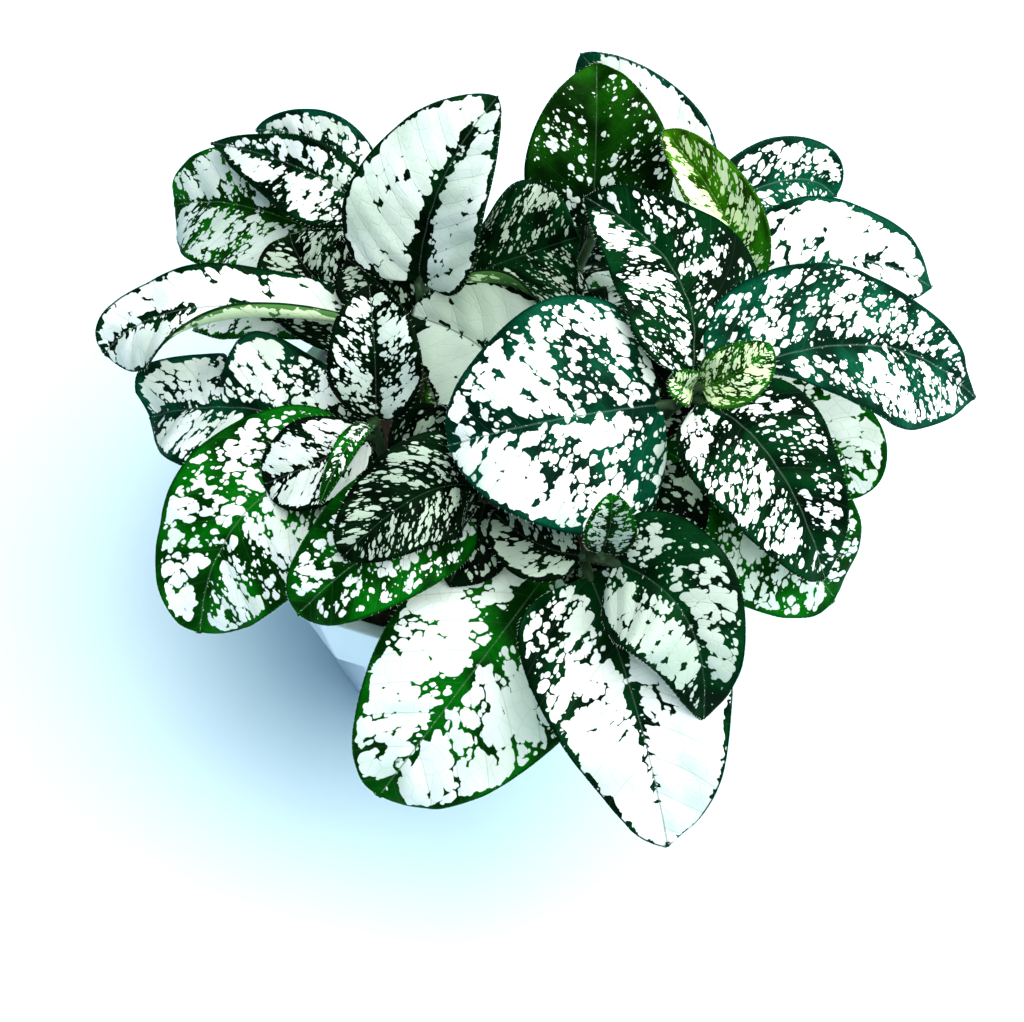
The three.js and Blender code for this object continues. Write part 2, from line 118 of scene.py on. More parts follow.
# Each stem: where it leaves the soil, and where its growing tip is.
# Each leaf: share of the stem's height, middle of the midrib, tip, width of the right
# and left half, where the upper face looks (degrees right of the front, degrees above level),
# fold at the midrib, further curl and margin wave of the right and left half,
# place of the widest part of the right and left half, and how pointed the tip is.
# One leaf also has a notch in its right half: its place and its share of the width.
LEAFY_STEMS = {
    "right": ([26, -10], [47, -21, 127], [
        [0.88, [21, -29, 127], [-3, -30, 119], [24.5, 24.5], [2, 60], 4, [-15, -20], [1, 1],
          [0.34, 0.34, 0.6]],
        [0.93, [44, 0, 134], [25, 24, 133], [15.5, 15], [25, 45], 15, [-10, -10], [1, 1],
          [0.33, 0.33, 0.75]],
        [0.93, [60, -38, 127], [73, -50, 101], [15.5, 13], [20, 55], 10, [-10, -10], [1, 1],
          [0.4, 0.4, 0.65]],
        [0.93, [79, -13, 130], [107, -8, 106], [16, 18], [0, 65], 6, [-10, -20], [1, 1], [0.64, 0.25, 1]],
        [0.66, [59, -38, 107], [77, -45, 86], [17, 18], [0, 60], 0, [-10, -10], [1, 1], [0.5, 0.5, 0.55]],
        [0.98, [54, -22, 132], [61, -18, 136], [7, 7], [0, 50], 30, [0, 0], [0.3, 0.3], [0.45, 0.45, 0.7]],
        [0.98, [44, -25, 132], [41, -24, 134], [4, 4], [0, 50], 30, [0, 0], [0.3, 0.3], [0.45, 0.45, 0.7]],
        [0.66, [40, 1, 108], [38, 10, 108], [11, 11], [0, 55], 20, [0, 0], [0.5, 0.5], [0.45, 0.45, 0.8]],
        [0.40, [42, -26, 92], [52, -37, 84], [13, 13], [20, 60], 10, [0, 0], [0.8, 0.8], [0.5, 0.5, 0.7]],
        [0.78, [42, -12, 114], [37, -3, 113], [8, 8], [0, 60], 15, [0, 0], [0.4, 0.4], [0.5, 0.5, 0.7]],
        [0.60, [39, -35, 107], [37, -45, 99], [11, 11], [0, 60], 10, [0, 0], [0.6, 0.6], [0.5, 0.5, 0.7]],
    ]),
    "front": ([14, -24], [28, -51, 110], [
        [0.80, [34, -73, 93], [42, -90, 62], [19, 21], [5, 45], 6, [-10, -10], [1, 1], [0.25, 0.33, 0.68]],
        [0.95, [43, -65, 112], [48, -76, 90], [14, 14], [10, 50], 10, [-10, -15], [1, 1],
          [0.3, 0.24, 0.75]],
        [0.60, [3, -60, 84], [-18, -75, 56], [20.5, 23.5], [-5, 50], 2, [-25, -10], [1, 1],
          [0.42, 0.38, 0.5]],
        [0.88, [15, -44, 105], [6, -34, 102], [8, 8], [0, 60], 15, [0, 0], [0.5, 0.5], [0.45, 0.45, 0.8]],
        [0.97, [29, -51, 121], [29, -49, 129], [5.5, 5.5], [0, 20], 25, [0, 0], [0.2, 0.2],
          [0.45, 0.45, 0.7]],
        [0.35, [24, -44, 80], [32, -58, 70], [11, 11], [20, 60], 10, [0, 0], [0.8, 0.8], [0.5, 0.5, 0.7]],
    ]),
    "middle": ([0, -12], [6, -31, 104], [
        [0.80, [-14, -41, 103], [-34, -50, 88], [14, 13], [-10, 60], 8, [-10, -10], [1, 1],
          [0.4, 0.42, 0.5]],
        [0.95, [-7, -36, 111.5], [-24, -46, 103], [12, 11], [0, 50], 15, [0, 0], [0.8, 0.8],
          [0.4, 0.4, 0.5]],
        [0.93, [9, -3, 106], [-12, 14, 107], [16, 16], [0, 55], 8, [0, 0], [0.6, 0.6], [0.5, 0.5, 0.6]],
        [0.40, [-14, -28, 82], [-26, -36, 76], [12, 12], [-20, 65], 10, [0, 0], [0.8, 0.8],
          [0.5, 0.5, 0.7]],
        [0.85, [2, -37, 97], [-3, -46, 93], [9, 9], [0, 60], 10, [0, 0], [0.6, 0.6], [0.5, 0.5, 0.7]],
    ]),
    "left": ([-16, -8], [-19, -14, 106], [
        [0.80, [-47, 0, 92], [-71, 9, 77], [17, 15.5], [0, 70], 5, [0, 0], [6, 1],
          [0.5, 0.5, 0.55], [0.58, 0.7]],
        [0.78, [-45, -27, 93], [-57, -42, 68], [17, 21], [-20, 60], 5, [-10, -10], [1, 1],
          [0.42, 0.42, 0.5]],
        [0.90, [-30, -22, 103], [-42, -23, 96], [9.5, 9.5], [0, 60], 10, [0, 0], [0.5, 0.5],
          [0.5, 0.5, 0.55]],
        [0.92, [-18, -9, 120], [-19, 1, 132], [10, 10], [0, 40], 15, [0, 0], [0.8, 0.8],
          [0.45, 0.45, 0.65]],
        [0.45, [-32, 2, 84], [-46, 8, 76], [12, 12], [-60, 65], 10, [0, 0], [0.8, 0.8], [0.5, 0.5, 0.7]],
        [0.60, [-9, -12, 95], [0, -12, 93], [9, 9], [0, 65], 15, [0, 0], [0.4, 0.4], [0.5, 0.5, 0.7]],
        [0.97, [-23, -24, 112], [-29, -36, 107], [2.5, 2.5], [-20, 60], 25, [0, 0], [0.3, 0.3],
          [0.45, 0.45, 0.7]],
    ]),
    "inner": ([-7, 8], [-10, 19, 112], [
        [0.93, [-6, 26, 131], [7, 39, 147], [15.5, 18], [-25, 35], 25, [0, -10], [0.8, 0.8],
          [0.32, 0.3, 0.7]],
        [0.95, [10, 27, 110], [24, 28, 116], [20, 16], [0, 60], 10, [150, 110], [0.5, 0.5],
          [0.6, 0.6, 0.4]],
        [0.62, [-31, 30, 96], [-40, 45, 98], [14, 13], [0, 60], 10, [0, 0], [0.6, 0.6], [0.5, 0.5, 0.7]],
        [0.75, [-54, 18, 105], [-80, 17, 90], [9.5, 11], [0, 68], 0, [0, 190], [1.5, 0.5],
          [0.5, 0.65, 0.4]],
        [0.60, [-4, -2, 98.5], [-9, 3, 99], [5, 5], [0, 50], 20, [0, 0], [0.3, 0.3], [0.45, 0.45, 0.8]],
        [0.40, [6, 16, 88], [18, 16, 84], [11, 11], [20, 65], 10, [0, 0], [0.8, 0.8], [0.5, 0.5, 0.7]],
        [0.78, [-19, 22, 108], [-26, 28, 109], [9, 9], [0, 55], 15, [0, 0], [0.5, 0.5], [0.5, 0.5, 0.7]],
    ]),
    "back": ([12, 20], [30, 38, 112], [
        [0.90, [28, 44, 127], [28, 56, 140], [17, 15.5], [0, 30], 10, [0, 0], [0.6, 0.6],
          [0.32, 0.32, 0.7]],
        [0.62, [16, 52, 84], [10, 66, 68], [14, 14], [180, 60], 8, [-10, -10], [1, 1], [0.45, 0.45, 0.75]],
        [0.50, [36, 50, 76], [46, 62, 60], [13, 13], [170, 55], 8, [-10, -10], [1, 1], [0.45, 0.45, 0.75]],
        [0.70, [22, 20, 104], [24, 10, 100], [9, 9], [0, 65], 10, [0, 0], [0.6, 0.6], [0.5, 0.5, 0.7]],
        [0.80, [20, 28, 103], [11, 21, 100], [11, 11], [0, 60], 10, [0, 0], [0.6, 0.6], [0.5, 0.5, 0.7]],
        [0.75, [26, 45, 93], [27, 57, 90], [11, 11], [0, 60], 10, [0, 0], [0.6, 0.6], [0.5, 0.5, 0.7]],
    ]),
    "north": ([26, 24], [51, 46, 108], [
        [0.90, [42, 56, 113], [25, 67, 132], [13, 17], [10, 35], 10, [0, 0], [0.6, 0.6], [0.45, 0.45, 0.7]],
        [0.85, [70, 57, 102], [84, 59, 95], [10, 10], [0, 50], 10, [0, 0], [0.8, 0.8], [0.5, 0.5, 0.6]],
        [0.60, [62, 58, 78], [72, 68, 62], [13, 13], [160, 60], 8, [-10, -10], [1, 1], [0.45, 0.45, 0.75]],
    ]),
    "east": ([32, 6], [63, 20, 112], [
        [0.90, [55, 20, 129], [42, 41, 135], [9.5, 10], [10, 40], 45, [0, 0], [0.6, 0.6], [0.5, 0.4, 0.75]],
        [0.85, [79, 24, 113], [103, 29, 98], [14.5, 14.5], [0, 60], 6, [0, 0], [1, 1], [0.4, 0.32, 0.85]],
        [0.55, [77, -6, 91], [79, -14, 79], [11, 11], [0, 60], 5, [0, 0], [0.6, 0.6], [0.45, 0.45, 0.7]],
        [0.60, [80, 36, 84], [98, 42, 66], [15, 15], [90, 60], 8, [-10, -10], [1, 1], [0.45, 0.45, 0.75]],
        [0.35, [52, 10, 80], [64, 8, 72], [11, 11], [60, 65], 8, [0, 0], [0.8, 0.8], [0.5, 0.5, 0.7]],
    ]),
    "west": ([-12, 24], [-22, 54, 102], [
        [0.90, [-37, 57, 106], [-60, 74, 97], [7.5, 11], [0, 50], 10, [0, 0], [1, 1], [0.35, 0.35, 0.95]],
        [0.85, [-31, 64, 104], [-50, 79, 96], [8, 8], [0, 50], 8, [0, 0], [0.6, 0.6], [0.45, 0.45, 0.8]],
        [0.70, [-46, 56, 93], [-70, 70, 80], [15, 16.5], [0, 60], 5, [0, 0], [1, 1], [0.55, 0.55, 0.4]],
        [0.60, [-22, 62, 78], [-26, 78, 60], [14, 14], [180, 60], 8, [-10, -10], [1, 1],
          [0.45, 0.45, 0.75]],
        [0.50, [-48, 46, 76], [-66, 50, 60], [14, 14], [-100, 60], 8, [-10, -10], [1, 1],
          [0.45, 0.45, 0.75]],
        [0.62, [-35, 42, 84], [-47, 36, 78], [10, 10], [-40, 60], 8, [0, 0], [0.6, 0.6], [0.5, 0.5, 0.7]],
    ]),
}

# Leaf colours, in linear light
GREENS = {
    # partly the leaves' own blue-green and partly a painted reflection of the blue sky, for leaves that
    # face up
    "teal_painted_sky_sheen": (0.0008, 0.060, 0.030),
    "deep": (0.0002, 0.030, 0.007),
    # painted shade: a near-black green for leaves deep inside the plant, where the shade falls
    "painted_shade_green": (0.0002, 0.011, 0.002),
    "vivid": (0.0005, 0.105, 0.003),
    "fresh": (0.008, 0.080, 0.0005),
    "lime": (0.060, 0.210, 0.003),
    "young": (0.030, 0.130, 0.008),
}
WHITES = {
    "bright": (0.80, 0.86, 0.83),
    # painted shade: the bright white darkened step by step, for leaves in light shade, in shade and in deep
    # shade
    "white_painted_light_shade": (0.62, 0.71, 0.66),
    "white_painted_shade": (0.42, 0.50, 0.44),
    "white_painted_deep_shade": (0.36, 0.44, 0.36),
    "cream": (0.64, 0.76, 0.46),
}

# Each leaf, in the order above: how white it is (0 to 1), how much whiter its tip is than
# its base, how much whiter its right half is, its green at the base and at the tip, its white,
# how fine its markings are, and how dark it is along the lower midrib. Shaded leaves get painted
# shade through a darker green and a darker white, and upward leaves a painted sky reflection
# through the teal.
LEAF_LOOKS = {
    "right": [
        [0.56, 0.25, -0.05, "teal_painted_sky_sheen", "teal_painted_sky_sheen", "bright", 0.8, 0],
        [0.40, 0, -0.02, "deep", "deep", "bright", 1.1, 0],
        [0.41, 0, 0.06, "deep", "deep", "bright", 1.1, 0],
        [0.48, 0.12, 0, "teal_painted_sky_sheen", "teal_painted_sky_sheen", "bright", 1.05, 0],
        [0.45, 0.1, 0, "vivid", "vivid", "white_painted_light_shade", 0.95, 0],
        [0.47, 0, 0, "young", "vivid", "cream", 2.2, 0],
        [0.52, 0, 0, "young", "vivid", "cream", 2.4, 0],
        [0.34, 0, 0, "painted_shade_green", "painted_shade_green", "white_painted_deep_shade", 1.2, 0],
        [0.38, 0, 0, "painted_shade_green", "painted_shade_green", "white_painted_deep_shade", 1, 0],
        [0.34, 0, 0, "painted_shade_green", "painted_shade_green", "white_painted_deep_shade", 1.1, 0],
        [0.38, 0, 0, "painted_shade_green", "painted_shade_green", "white_painted_deep_shade", 1, 0],
    ],
    "front": [
        [0.77, 0.65, -0.1, "deep", "deep", "bright", 0.85, 0.5],
        [0.54, 0.05, 0.14, "deep", "deep", "white_painted_shade", 0.9, 0],
        [0.64, 0.1, 0, "vivid", "vivid", "bright", 0.72, 0.8],
        [0.58, 0, 0, "painted_shade_green", "painted_shade_green", "white_painted_deep_shade", 1.2, 0],
        [0.42, 0, 0, "painted_shade_green", "vivid", "white_painted_shade", 1.8, 0],
        [0.36, 0, 0, "painted_shade_green", "painted_shade_green", "white_painted_deep_shade", 1, 0],
    ],
    "middle": [
        [0.41, 0, 0, "vivid", "vivid", "bright", 1, 0],
        [0.39, 0.12, 0, "painted_shade_green", "painted_shade_green", "white_painted_deep_shade", 1.5, 0],
        [0.88, 0, 0, "painted_shade_green", "painted_shade_green", "white_painted_shade", 0.8, 0],
        [0.38, 0, 0, "painted_shade_green", "painted_shade_green", "white_painted_deep_shade", 1, 0],
        [0.36, 0, 0, "painted_shade_green", "painted_shade_green", "white_painted_deep_shade", 1.1, 0],
    ],
    "left": [
        [0.57, 0.1, 0, "deep", "teal_painted_sky_sheen", "bright", 1, 0.6],
        [0.49, 0, 0, "vivid", "vivid", "bright", 0.85, 0],
        [0.62, 0.1, 0, "painted_shade_green", "painted_shade_green", "bright", 1.25, 0],
        [0.51, 0.1, 0, "painted_shade_green", "painted_shade_green", "white_painted_light_shade", 1.2, 0.1],
        [0.38, 0, 0, "painted_shade_green", "painted_shade_green", "white_painted_deep_shade", 1, 0],
        [0.36, 0, 0, "painted_shade_green", "painted_shade_green", "white_painted_deep_shade", 1.2, 0],
        [0.62, 0, 0, "vivid", "vivid", "bright", 1.6, 0],
    ],
    "inner": [
        [0.81, 0.1, -0.03, "painted_shade_green", "deep", "white_painted_light_shade", 0.85, 1.3],
        [0.30, 0.1, 0, "painted_shade_green", "deep", "white_painted_deep_shade", 1.4, 0],
        [0.42, 0, 0, "painted_shade_green", "painted_shade_green", "white_painted_deep_shade", 1.2, 0],
        [0.80, 0.1, 0, "deep", "deep", "bright", 0.9, 0],
        [0.62, 0, 0, "young", "young", "cream", 1.5, 0],
        [0.34, 0, 0, "painted_shade_green", "painted_shade_green", "white_painted_deep_shade", 1, 0],
        [0.36, 0, 0, "painted_shade_green", "painted_shade_green", "white_painted_deep_shade", 1.1, 0],
    ],
    "back": [
        [0.28, -0.14, 0, "painted_shade_green", "fresh", "white_painted_light_shade", 1.05, 0],
        [0.60, 0.1, 0, "deep", "deep", "bright", 1, 0],
        [0.55, 0.1, 0, "vivid", "vivid", "bright", 1, 0],
        [0.32, 0, 0, "painted_shade_green", "painted_shade_green", "white_painted_deep_shade", 1.2, 0],
        [0.32, 0, 0, "painted_shade_green", "painted_shade_green", "white_painted_deep_shade", 1.1, 0],
        [0.30, 0, 0, "painted_shade_green", "painted_shade_green", "white_painted_deep_shade", 1, 0],
    ],
    "north": [
        [0.82, 0.1, 0, "teal_painted_sky_sheen", "teal_painted_sky_sheen", "bright", 0.9, 0],
        [0.52, 0, 0, "teal_painted_sky_sheen", "teal_painted_sky_sheen", "bright", 1, 0],
        [0.60, 0.1, 0, "deep", "deep", "bright", 1, 0],
    ],
    "east": [
        [0.52, 0, -0.2, "vivid", "lime", "cream", 1.4, 0],
        [0.71, 0.2, 0, "teal_painted_sky_sheen", "teal_painted_sky_sheen", "bright", 0.9, 0],
        [0.64, 0.1, -0.1, "vivid", "vivid", "bright", 0.9, 0],
        [0.60, 0.1, 0, "deep", "deep", "bright", 1, 0],
        [0.38, 0, 0, "painted_shade_green", "painted_shade_green", "white_painted_deep_shade", 1, 0],
    ],
    "west": [
        [0.58, 0.1, 0, "deep", "deep", "bright", 1, 0],
        [0.66, 0, 0, "teal_painted_sky_sheen", "teal_painted_sky_sheen", "bright", 1, 0],
        [0.58, 0, 0, "fresh", "vivid", "white_painted_light_shade", 1.1, 0.6],
        [0.60, 0.1, 0, "deep", "deep", "bright", 1, 0],
        [0.60, 0.1, 0, "vivid", "vivid", "bright", 1, 0],
        [0.38, 0, 0, "painted_shade_green", "painted_shade_green", "white_painted_deep_shade", 1, 0],
    ],
}


# Camera, floor and light

def make_camera():
    data = bpy.data.cameras.new("camera")
    data.lens = CAMERA_LENS
    camera = bpy.data.objects.new("camera", data)
    rise = CAMERA_ELEVATION * DEGREE
    back = Vector((0, -math.cos(rise), math.sin(rise)))
    camera.location = CAMERA_TARGET + back * CAMERA_DISTANCE
    camera.rotation_euler = (-back).to_track_quat("-Z", "Y").to_euler()
    bpy.context.scene.collection.objects.link(camera)
    bpy.context.scene.camera = camera


def light_studio():
    scene = bpy.context.scene
    scene.view_settings.view_transform = "Standard"
    scene.view_settings.look = "Medium High Contrast"
    world = bpy.data.worlds.new("studio")
    world.use_nodes = True
    background = world.node_tree.nodes["Background"]
    background.inputs["Color"].default_value = SKY_COLOUR
    background.inputs["Strength"].default_value = SKY_STRENGTH
    scene.world = world
    data = bpy.data.lights.new("lamp", "AREA")
    data.shape = "DISK"
    data.size = LAMP_SIZE
    data.energy = LAMP_WATTS
    data.color = LAMP_COLOUR
    lamp = bpy.data.objects.new("lamp", data)
    lamp.location = LAMP_PLACE
    aim = Vector(LAMP_AIM) - Vector(LAMP_PLACE)
    lamp.rotation_euler = aim.to_track_quat("-Z", "Y").to_euler()
    scene.collection.objects.link(lamp)


def make_floor():
    mesh = bpy.data.meshes.new("floor")
    bm = bmesh.new()
    bmesh.ops.create_grid(bm, x_segments=1, y_segments=1, size=TABLE_HALF_WIDTH)
    bm.to_mesh(mesh)
    bm.free()
    floor = bpy.data.objects.new("floor", mesh)
    bpy.context.scene.collection.objects.link(floor)
    material = bpy.data.materials.new("pale table")
    material.use_nodes = True
    surface = material.node_tree.nodes["Principled BSDF"]
    surface.inputs["Base Color"].default_value = TABLE_COLOUR
    surface.inputs["Roughness"].default_value = TABLE_ROUGHNESS
    mesh.materials.append(material)


# Shader nodes

class Nodes:
    """Makes nodes in a tree. A value given for a socket is set, and an output given for it is linked."""

    def __init__(self, tree):
        self.tree = tree

    def add(self, kind, inputs=None, **settings):
        node = self.tree.nodes.new(kind)
        for name, value in settings.items():
            setattr(node, name, value)
        for name, value in (inputs or {}).items():
            self.set(node.inputs[name], value)
        return node

    def set(self, socket, value):
        if isinstance(value, bpy.types.NodeSocket):
            self.tree.links.new(value, socket)
        else:
            socket.default_value = value

    def math(self, operation, a, b=0.0, c=0.0, clamp=False):
        node = self.add("ShaderNodeMath", operation=operation, use_clamp=clamp)
        for socket, value in zip(node.inputs, (a, b, c)):
            self.set(socket, value)
        return node.outputs[0]

    def sum(self, *terms):
        total = terms[0]
        for term in terms[1:]:
            total = self.math("ADD", total, term)
        return total

    def scaled(self, value, factor, middle=0.0):
        """(value - middle) * factor"""
        return self.math("MULTIPLY_ADD", value, factor, -middle * factor)

    def fade(self, value, start, end, high=1.0, low=0.0):
        """high up to start, falling smoothly to low at end"""
        inputs = {"Value": value, "From Min": start, "From Max": end, "To Min": high, "To Max": low}
        node = self.add("ShaderNodeMapRange", inputs, interpolation_type="SMOOTHSTEP")
        return node.outputs["Result"]

    def noise(self, place, scale, detail=2.0, roughness=0.5, distortion=0.0):
        inputs = {
            "Vector": place, "Scale": scale, "Detail": detail,
            "Roughness": roughness, "Distortion": distortion,
        }
        return self.add("ShaderNodeTexNoise", inputs).outputs["Fac"]

    def cells(self, place, scale, feature="F1", dimensions="2D"):
        node = self.add(
            "ShaderNodeTexVoronoi", {"Vector": place, "Scale": scale},
            voronoi_dimensions=dimensions, feature=feature,
        )
        return node.outputs["Distance"]

    def dots(self, place, scale):
        """Round hills of unlike heights, about one to a cell, that melt together where they touch"""
        node = self.add(
            "ShaderNodeTexVoronoi", {"Vector": place, "Scale": scale, "Smoothness": 0.22},
            voronoi_dimensions="2D", feature="SMOOTH_F1",
        )
        height = self.add("ShaderNodeSeparateColor", {"Color": node.outputs["Color"]}).outputs["Red"]
        hill = self.scaled(node.outputs["Distance"], -0.85, 0.40)
        return self.math("ADD", hill, self.scaled(height, 0.36, 0.5))

    def mix(self, share, a, b, blend="MIX"):
        node = self.add("ShaderNodeMix", data_type="RGBA", blend_type=blend)
        for socket, value in ((node.inputs[0], share), (node.inputs[6], a), (node.inputs[7], b)):
            self.set(socket, value)
        return node.outputs[2]

    def attribute(self, name, output="Fac"):
        return self.add("ShaderNodeAttribute", attribute_name=name).outputs[output]

    def bump(self, height, distance, strength=1.0, normal=None):
        inputs = {"Height": height, "Distance": distance, "Strength": strength}
        if normal is not None:
            inputs["Normal"] = normal
        return self.add("ShaderNodeBump", inputs).outputs["Normal"]


def new_group(name, inputs, outputs):
    """A shader node group with the named sockets"""
    group = bpy.data.node_groups.new(name, "ShaderNodeTree")
    for socket, kind in inputs.items():
        group.interface.new_socket(socket, in_out="INPUT", socket_type=kind)
    for socket, kind in outputs.items():
        group.interface.new_socket(socket, in_out="OUTPUT", socket_type=kind)
    nodes = Nodes(group)
    return group, nodes, nodes.add("NodeGroupInput").outputs, nodes.add("NodeGroupOutput")


def new_material(name):
    material = bpy.data.materials.new(name)
    material.use_nodes = True
    nodes = Nodes(material.node_tree)
    return material, nodes, material.node_tree.nodes["Principled BSDF"]


def use_group(nodes, group, inputs=None):
    node = nodes.add("ShaderNodeGroup")
    node.node_tree = group
    for name, value in (inputs or {}).items():
        nodes.set(node.inputs[name], value)
    return node.outputs


FLOAT = "NodeSocketFloat"


def leaf_markings_group():
    """Where a leaf is white, from its own flat coordinates in millimetres.
    The white is made of round dots that grow and run together, and dark flecks stay between them."""
    outputs = {"Pale": FLOAT, "Midrib": FLOAT, "Vein": FLOAT, "Net": FLOAT, "Margin": FLOAT}
    group, nodes, _, result = new_group("leaf markings", {}, outputs)
    flat = nodes.attribute("leaf_place", "Vector")
    margin = nodes.attribute("margin_mm")
    midrib = nodes.attribute("midrib_mm")
    whiteness = nodes.attribute("whiteness")
    off_vein = nodes.scaled(nodes.math("PINGPONG", nodes.attribute("vein_count"), 0.5), 7)

    jitter = nodes.add("ShaderNodeTexNoise", {"Vector": flat, "Scale": 0.7, "Detail": 1.0})
    shift = nodes.add(
        "ShaderNodeVectorMath", {0: jitter.outputs["Color"], 1: (0.5, 0.5, 0.5)}, operation="SUBTRACT",
    ).outputs[0]
    moved = nodes.add(
        "ShaderNodeVectorMath", {0: shift, 1: (1.1, 1.1, 0.0), 2: flat}, operation="MULTIPLY_ADD",
    ).outputs[0]

    clouds = nodes.scaled(nodes.noise(flat, 0.11, 1.5), 1.1, 0.5)
    patches = nodes.scaled(nodes.noise(flat, 0.28, 1.0), 0.6, 0.5)
    near_midrib = nodes.fade(nodes.math("ADD", midrib, nodes.scaled(patches, 4.0)), 0.3, 2.2, -0.3)
    near_vein = nodes.fade(nodes.math("ADD", off_vein, nodes.scaled(patches, 2.5)), 0.1, 1.3, -0.12)
    near_margin = nodes.fade(nodes.math("ADD", margin, nodes.scaled(patches, 3.0)), 0.5, 1.9, -0.55)
    ground = nodes.sum(whiteness, clouds, patches, near_midrib, near_vein, near_margin)
    filled = nodes.scaled(nodes.math("MAXIMUM", nodes.math("SUBTRACT", ground, 0.66), 0.0), 1.5)

    large = nodes.dots(moved, 0.42)
    small = nodes.dots(moved, 0.78)
    field = nodes.sum(ground, filled, nodes.math("MAXIMUM", large, nodes.scaled(small, 0.95, 0.08)))
    pale = nodes.fade(field, 0.46, 0.52, 0.0, 1.0)

    midrib_line = nodes.fade(midrib, 0.06, 0.28)
    vein_line = nodes.fade(off_vein, 0.05, 0.25)
    net_line = nodes.fade(nodes.cells(flat, 0.42, "DISTANCE_TO_EDGE"), 0.01, 0.09)
    margin_line = nodes.fade(margin, 0.25, 0.6)
    for name, value in (
        ("Pale", pale), ("Midrib", midrib_line), ("Vein", vein_line),
        ("Net", net_line), ("Margin", margin_line),
    ):
        nodes.set(result.inputs[name], value)
    return group


def leaf_material(name, markings, upper):
    """The upper face is dark green with clear white, and the underside is duller and paler"""
    material, nodes, surface = new_material(name)
    marks = use_group(nodes, markings)
    place = nodes.attribute("leaf_place", "Vector")
    green = nodes.attribute("green", "Color")
    tissue = nodes.noise(place, 1.3, 3, 0.6)
    depth = nodes.fade(nodes.noise(place, 0.10, 1.5), 0.38, 0.62, 0.3, 1.2)
    shade = nodes.math("MULTIPLY", nodes.math("MULTIPLY_ADD", tissue, 1.0, 0.5), depth)
    shades = nodes.add("ShaderNodeCombineColor", {"Red": shade, "Green": shade, "Blue": shade})
    dark = nodes.mix(1.0, green, shades.outputs[0], "MULTIPLY")
    rib = nodes.mix(0.09, green, nodes.attribute("white", "Color"))
    rib_on_white = (0.36, 0.50, 0.34, 1)
    drift = nodes.fade(nodes.noise(place, 0.09, 1.5), 0.42, 0.66, 0.0, 0.5)
    pale_white = nodes.mix(drift, nodes.attribute("white", "Color"), (0.46, 0.58, 0.46, 1))
    if not upper:
        dark = nodes.mix(0.6, dark, (0.14, 0.34, 0.10, 1))
        pale_white = (0.62, 0.76, 0.50, 1)
    dark = nodes.mix(nodes.math("MULTIPLY", marks["Vein"], 0.12), dark, rib)
    white = nodes.mix(nodes.math("MULTIPLY", marks["Net"], 0.14), pale_white, rib_on_white)
    white = nodes.mix(nodes.math("MULTIPLY", marks["Vein"], 0.35), white, rib_on_white)
    colour = nodes.mix(marks["Pale"], dark, white)
    colour = nodes.mix(nodes.math("MULTIPLY", marks["Midrib"], 0.6), colour, rib)
    edge = nodes.mix(1.0, green, (0.6, 0.6, 0.7, 1), "MULTIPLY")
    colour = nodes.mix(nodes.math("MULTIPLY", marks["Margin"], 0.95), colour, edge)
    nodes.set(surface.inputs["Base Color"], colour)
    rough = nodes.math("MULTIPLY_ADD", tissue, 0.25, 0.38 if upper else 0.5)
    nodes.set(surface.inputs["Roughness"], rough)
    surface.inputs["Specular IOR Level"].default_value = 0.04
    grain = nodes.cells(place, 2.6)
    relief = nodes.sum(
        nodes.scaled(grain, 0.25), nodes.scaled(marks["Net"], -0.35),
        nodes.scaled(marks["Vein"], -0.6), nodes.scaled(marks["Midrib"], 0.8),
    )
    nodes.set(surface.inputs["Normal"], nodes.bump(relief, 0.12 * MM, 0.7))
    return material


def stalk_material():
    material, nodes, surface = new_material("leaf stalk")
    place = nodes.add("ShaderNodeTexCoord").outputs["Object"]
    mottle = nodes.noise(place, 260, 3)
    colour = nodes.mix(mottle, (0.010, 0.035, 0.010, 1), (0.035, 0.080, 0.028, 1))
    nodes.set(surface.inputs["Base Color"], colour)
    nodes.set(surface.inputs["Roughness"], nodes.math("MULTIPLY_ADD", mottle, 0.3, 0.4))
    nodes.set(surface.inputs["Normal"], nodes.bump(nodes.noise(place, 900, 2), 0.2 * MM, 0.5))
    return material


def hair_material():
    material, nodes, surface = new_material("leaf hair")
    place = nodes.add("ShaderNodeTexCoord").outputs["Object"]
    tint = nodes.noise(place, 150, 1)
    colour = nodes.mix(tint, (0.75, 0.82, 0.70, 1), (0.9, 0.93, 0.88, 1))
    nodes.set(surface.inputs["Base Color"], colour)
    nodes.set(surface.inputs["Roughness"], nodes.math("MULTIPLY_ADD", tint, 0.2, 0.3))
    nodes.set(surface.inputs["Normal"], nodes.bump(tint, 0.02 * MM))
    return material


def glaze_material():
    material, nodes, surface = new_material("white glaze")
    place = nodes.add("ShaderNodeTexCoord").outputs["Object"]
    drift = nodes.noise(place, 30, 2)
    specks = nodes.fade(nodes.cells(place, 420, dimensions="3D"), 0.05, 0.12)
    rare = nodes.fade(nodes.noise(place, 90, 0), 0.62, 0.70, 0.0, 1.0)
    colour = nodes.mix(drift, (0.66, 0.76, 0.86, 1), (0.72, 0.80, 0.88, 1))
    speck_share = nodes.math("MULTIPLY", nodes.math("MULTIPLY", specks, rare), 0.35)
    colour = nodes.mix(speck_share, colour, (0.45, 0.44, 0.42, 1))
    nodes.set(surface.inputs["Base Color"], colour)
    nodes.set(surface.inputs["Roughness"], nodes.math("MULTIPLY_ADD", drift, 0.12, 0.12))
    ripple = nodes.noise(place, 110, 2, 0.4)
    nodes.set(surface.inputs["Normal"], nodes.bump(ripple, 0.15 * MM, 0.35))
    return material


